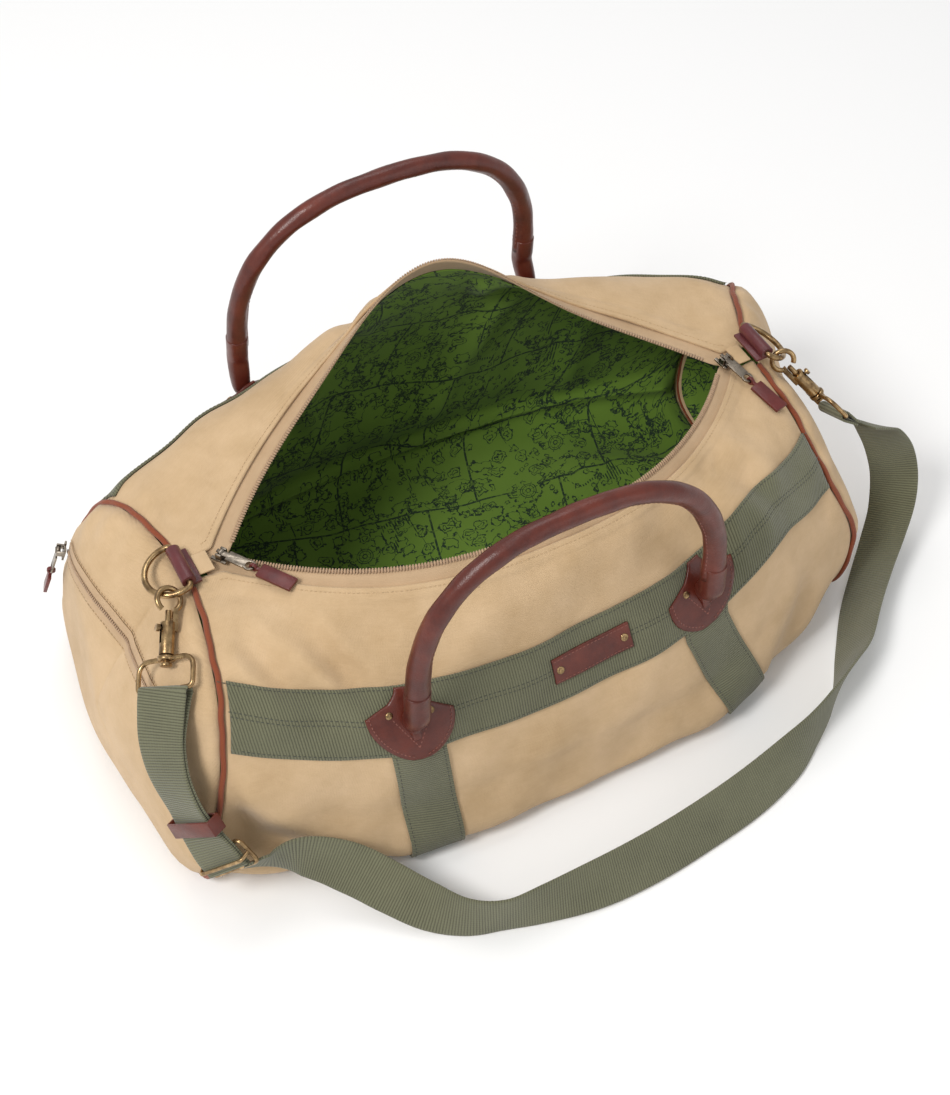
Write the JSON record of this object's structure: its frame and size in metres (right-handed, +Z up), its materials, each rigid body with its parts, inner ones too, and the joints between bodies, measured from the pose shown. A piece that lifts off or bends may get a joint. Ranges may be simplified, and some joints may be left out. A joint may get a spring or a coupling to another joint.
{
  "type": "duffel bag",
  "caption": "Soft canvas duffel bag with an open zipped mouth, rolled leather handles, webbing bands, an end pocket and a clip-on webbing shoulder strap.",
  "frame": {"origin": "centre of the bag and its laid-out hardware on the surface it stands on", "axes": "+X along the bag towards its right end, -Y towards its front panel, +Z up"},
  "size_m": [0.6607, 0.4499, 0.3329],
  "materials": {
    "canvas": "plain woven cotton canvas",
    "lining": "printed cotton lining",
    "piping": "folded piping cord",
    "webbing": "ribbed cotton webbing",
    "leather": "satin chestnut leather",
    "pull_leather": "satin dark red leather",
    "handle_core": "twisted cotton cord",
    "antique_brass": "aged brass",
    "gunmetal": "darkened metal",
    "spring_steel": "bright spring wire",
    "zip_tape": "woven zip tape and nylon coil"
  },
  "bodies": {
    "bag": {"front_panel": "canvas", "bottom_panel": "canvas", "back_panel": "canvas", "left_end_panel": "canvas", "right_end_panel": "canvas", "lining": "lining", "left_piping": "piping", "right_piping": "piping", "front_band": "webbing", "back_band": "webbing", "left_under_strap": "webbing", "right_under_strap": "webbing", "left_front_chape": "leather", "right_front_chape": "leather", "left_back_chape": "leather", "right_back_chape": "leather", "front_handle_rivets": "antique_brass", "back_handle_rivets": "antique_brass", "label_patch": "leather", "label_rivets": "antique_brass", "front_zip_tape": "zip_tape", "back_zip_tape": "zip_tape", "front_zip_coil": "zip_tape", "back_zip_coil": "zip_tape", "left_zip_end_tab": "canvas", "right_zip_end_tab": "canvas", "pocket_zip_tape": "zip_tape", "pocket_zip_coil": "zip_tape", "pocket_liner": "lining", "left_ring_tab": "leather", "right_ring_tab": "leather", "shoulder_strap": "webbing", "strap_loop_left": "webbing", "strap_end_right": "webbing"},
    "front_handle": {"front_handle": "leather", "front_handle_core": "handle_core"},
    "back_handle": {"back_handle": "leather", "back_handle_core": "handle_core"},
    "left_slider": {"left_zip_slider": "gunmetal"},
    "left_puller": {"left_zip_puller": "gunmetal"},
    "left_pull_tab": {"left_zip_pull_tab": "pull_leather"},
    "right_slider": {"right_zip_slider": "gunmetal"},
    "right_puller": {"right_zip_puller": "gunmetal"},
    "right_pull_tab": {"right_zip_pull_tab": "pull_leather"},
    "pocket_slider": {"pocket_zip_slider": "gunmetal"},
    "pocket_puller": {"pocket_zip_puller": "gunmetal"},
    "pocket_pull_tab": {"pocket_zip_pull_tab": "pull_leather"},
    "left_ring": {"left_d_ring": "antique_brass"},
    "right_ring": {"right_d_ring": "antique_brass"},
    "left_clip": {"left_clip_loop": "antique_brass"},
    "left_hook": {"left_clip_hook": "antique_brass", "left_clip_spring": "spring_steel"},
    "left_bolt": {"left_clip_bolt": "antique_brass"},
    "right_clip": {"right_clip_loop": "antique_brass"},
    "right_hook": {"right_clip_hook": "antique_brass", "right_clip_spring": "spring_steel"},
    "right_bolt": {"right_clip_bolt": "antique_brass"},
    "keeper": {"strap_keeper": "leather"},
    "adjuster": {"strap_adjuster": "antique_brass"}
  },
  "joints": [
    {"name": "front_handle_swing", "type": "hinge", "parent": "bag", "child": "front_handle", "pos_m": [-0.0057, -0.1476, 0.141], "axis": [0.9981, 0, 0.0613], "range_deg": [-30, 100]},
    {"name": "back_handle_swing", "type": "hinge", "parent": "bag", "child": "back_handle", "pos_m": [0.0133, 0.1704, 0.18], "axis": [-1, 0, 0], "range_deg": [-18, 105]},
    {"name": "left_slider_travel", "type": "slide", "parent": "bag", "child": "left_slider", "axis": [1, 0, 0], "range_m": [0, 0.006]},
    {"name": "left_puller_lift", "type": "hinge", "parent": "left_slider", "child": "left_puller", "pos_m": [-0.1897, 0.0084, 0.1802], "axis": [-0.8366, -0.5478, 0], "range_deg": [0, 130]},
    {"name": "left_pull_tab_fold", "type": "hinge", "parent": "left_puller", "child": "left_pull_tab", "pos_m": [-0.17513, -0.01385, 0.1802], "axis": [-0.8366, -0.5478, 0], "range_deg": [0, 60]},
    {"name": "right_slider_travel", "type": "slide", "parent": "bag", "child": "right_slider", "axis": [-1, 0, 0], "range_m": [0, 0.006]},
    {"name": "right_puller_lift", "type": "hinge", "parent": "right_slider", "child": "right_puller", "pos_m": [0.21661, 0.00753, 0.17862], "axis": [-0.9663, -0.2569, 0.0143], "range_deg": [0, 130]},
    {"name": "right_pull_tab_fold", "type": "hinge", "parent": "right_puller", "child": "right_pull_tab", "pos_m": [0.22327, -0.01779, 0.17391], "axis": [-0.9663, -0.2569, 0.0143], "range_deg": [0, 60]},
    {"name": "pocket_slider_travel", "type": "slide", "parent": "bag", "child": "pocket_slider", "axis": [0, -0.9501, 0.312], "range_m": [0, 0.004]},
    {"name": "pocket_puller_lift", "type": "hinge", "parent": "pocket_slider", "child": "pocket_puller", "pos_m": [-0.28013, 0.11342, 0.12211], "axis": [0.3799, 0.9204, 0.092], "range_deg": [0, 130]},
    {"name": "pocket_pull_tab_fold", "type": "hinge", "parent": "pocket_puller", "child": "pocket_pull_tab", "pos_m": [-0.28806, 0.11916, 0.09738], "axis": [0.3799, 0.9204, 0.092], "range_deg": [0, 60]},
    {"name": "left_ring_lift", "type": "hinge", "parent": "bag", "child": "left_ring", "pos_m": [-0.2182, 0.0094, 0.1815], "axis": [0, 1, 0], "range_deg": [0, 20]},
    {"name": "left_clip_lift", "type": "hinge", "parent": "bag", "child": "left_clip", "pos_m": [-0.2182, 0.0094, 0.1815], "axis": [0, 1, 0], "range_deg": [0, 20], "deforming": ["strap_loop_left"]},
    {"name": "left_hook_swivel", "type": "hinge", "parent": "left_clip", "child": "left_hook", "pos_m": [-0.2352, -0.0106, 0.177], "axis": [-0.4205, -0.841, -0.3404], "range_deg": [-10, 3]},
    {"name": "left_bolt_draw", "type": "slide", "parent": "left_hook", "child": "left_bolt", "axis": [-0.4205, -0.841, -0.3404], "range_m": [0, 0.006], "stiffness_N_per_m": 150},
    {"name": "right_ring_lift", "type": "hinge", "parent": "bag", "child": "right_ring", "pos_m": [0.2448, 0.0094, 0.1825], "axis": [0, -1, 0], "range_deg": [0, 20]},
    {"name": "right_clip_lift", "type": "hinge", "parent": "bag", "child": "right_clip", "pos_m": [0.2448, 0.0094, 0.1825], "axis": [0, -1, 0], "range_deg": [0, 20], "deforming": ["strap_end_right"]},
    {"name": "right_hook_swivel", "type": "hinge", "parent": "right_clip", "child": "right_hook", "pos_m": [0.2585, -0.0092, 0.1712], "axis": [0.5282, -0.4983, -0.6876], "range_deg": [-10, 10]},
    {"name": "right_bolt_draw", "type": "slide", "parent": "right_hook", "child": "right_bolt", "axis": [0.5282, -0.4983, -0.6876], "range_m": [0, 0.006], "stiffness_N_per_m": 150},
    {"name": "keeper_travel", "type": "slide", "parent": "bag", "child": "keeper", "axis": [0.2007, -0.6021, -0.7727], "range_m": [-0.006, 0.006]},
    {"name": "adjuster_travel", "type": "slide", "parent": "bag", "child": "adjuster", "axis": [0.3698, -0.5997, -0.7096], "range_m": [-0.003, 0.003]}
  ],
  "couplings": [
    {"joint": "left_clip_lift", "follows": "left_ring_lift", "ratio": 1},
    {"joint": "right_clip_lift", "follows": "right_ring_lift", "ratio": 1}
  ]
}
